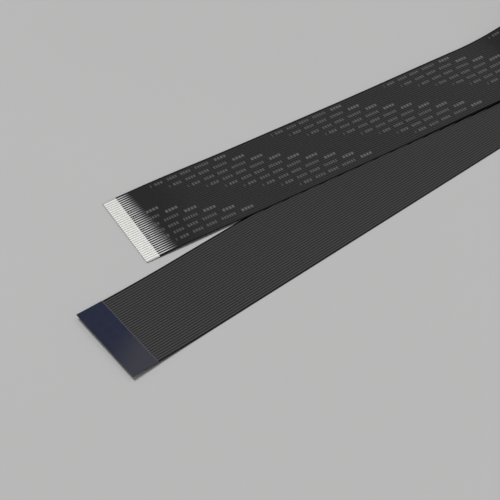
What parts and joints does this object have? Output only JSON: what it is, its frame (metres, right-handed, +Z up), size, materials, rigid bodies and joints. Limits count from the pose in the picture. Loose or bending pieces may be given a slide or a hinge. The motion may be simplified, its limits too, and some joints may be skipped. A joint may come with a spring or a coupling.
{
  "type": "flat flex cable",
  "caption": "Flat flex cable in a long open loop: flat tinned conductors between two dark films, bare and stiffened at both ends.",
  "frame": {"origin": "middle of the footprint, on the surface that the cable lies on", "axes": "+X along the cable's two runs from the ends towards the loop, halfway between their directions; +Y across the runs; +Z up"},
  "size_m": [0.353, 0.0728, 0.0402],
  "materials": {
    "printed_film": "dark satin polyester film, fine ridges over the conductors, faint grey marks",
    "plain_film": "dark satin polyester film, fine ridges over the conductors",
    "stiffener_tape": "smooth dark blue polyester tape",
    "tinned_copper": "bright tin plating on flat copper"
  },
  "bodies": {
    "root": {"printed_film": "printed_film", "plain_film": "plain_film", "lower_stiffener": "stiffener_tape", "upper_stiffener": "stiffener_tape", "conductor_01": "tinned_copper", "conductor_02": "tinned_copper", "conductor_03": "tinned_copper", "conductor_04": "tinned_copper", "conductor_05": "tinned_copper", "conductor_06": "tinned_copper", "conductor_07": "tinned_copper", "conductor_08": "tinned_copper", "conductor_09": "tinned_copper", "conductor_10": "tinned_copper", "conductor_11": "tinned_copper", "conductor_12": "tinned_copper", "conductor_13": "tinned_copper", "conductor_14": "tinned_copper", "conductor_15": "tinned_copper", "conductor_16": "tinned_copper", "conductor_17": "tinned_copper", "conductor_18": "tinned_copper", "conductor_19": "tinned_copper", "conductor_20": "tinned_copper", "conductor_21": "tinned_copper", "conductor_22": "tinned_copper", "conductor_23": "tinned_copper", "conductor_24": "tinned_copper", "conductor_25": "tinned_copper", "conductor_26": "tinned_copper", "conductor_27": "tinned_copper", "conductor_28": "tinned_copper", "conductor_29": "tinned_copper", "conductor_30": "tinned_copper", "conductor_31": "tinned_copper", "conductor_32": "tinned_copper"}
  },
  "joints": []
}
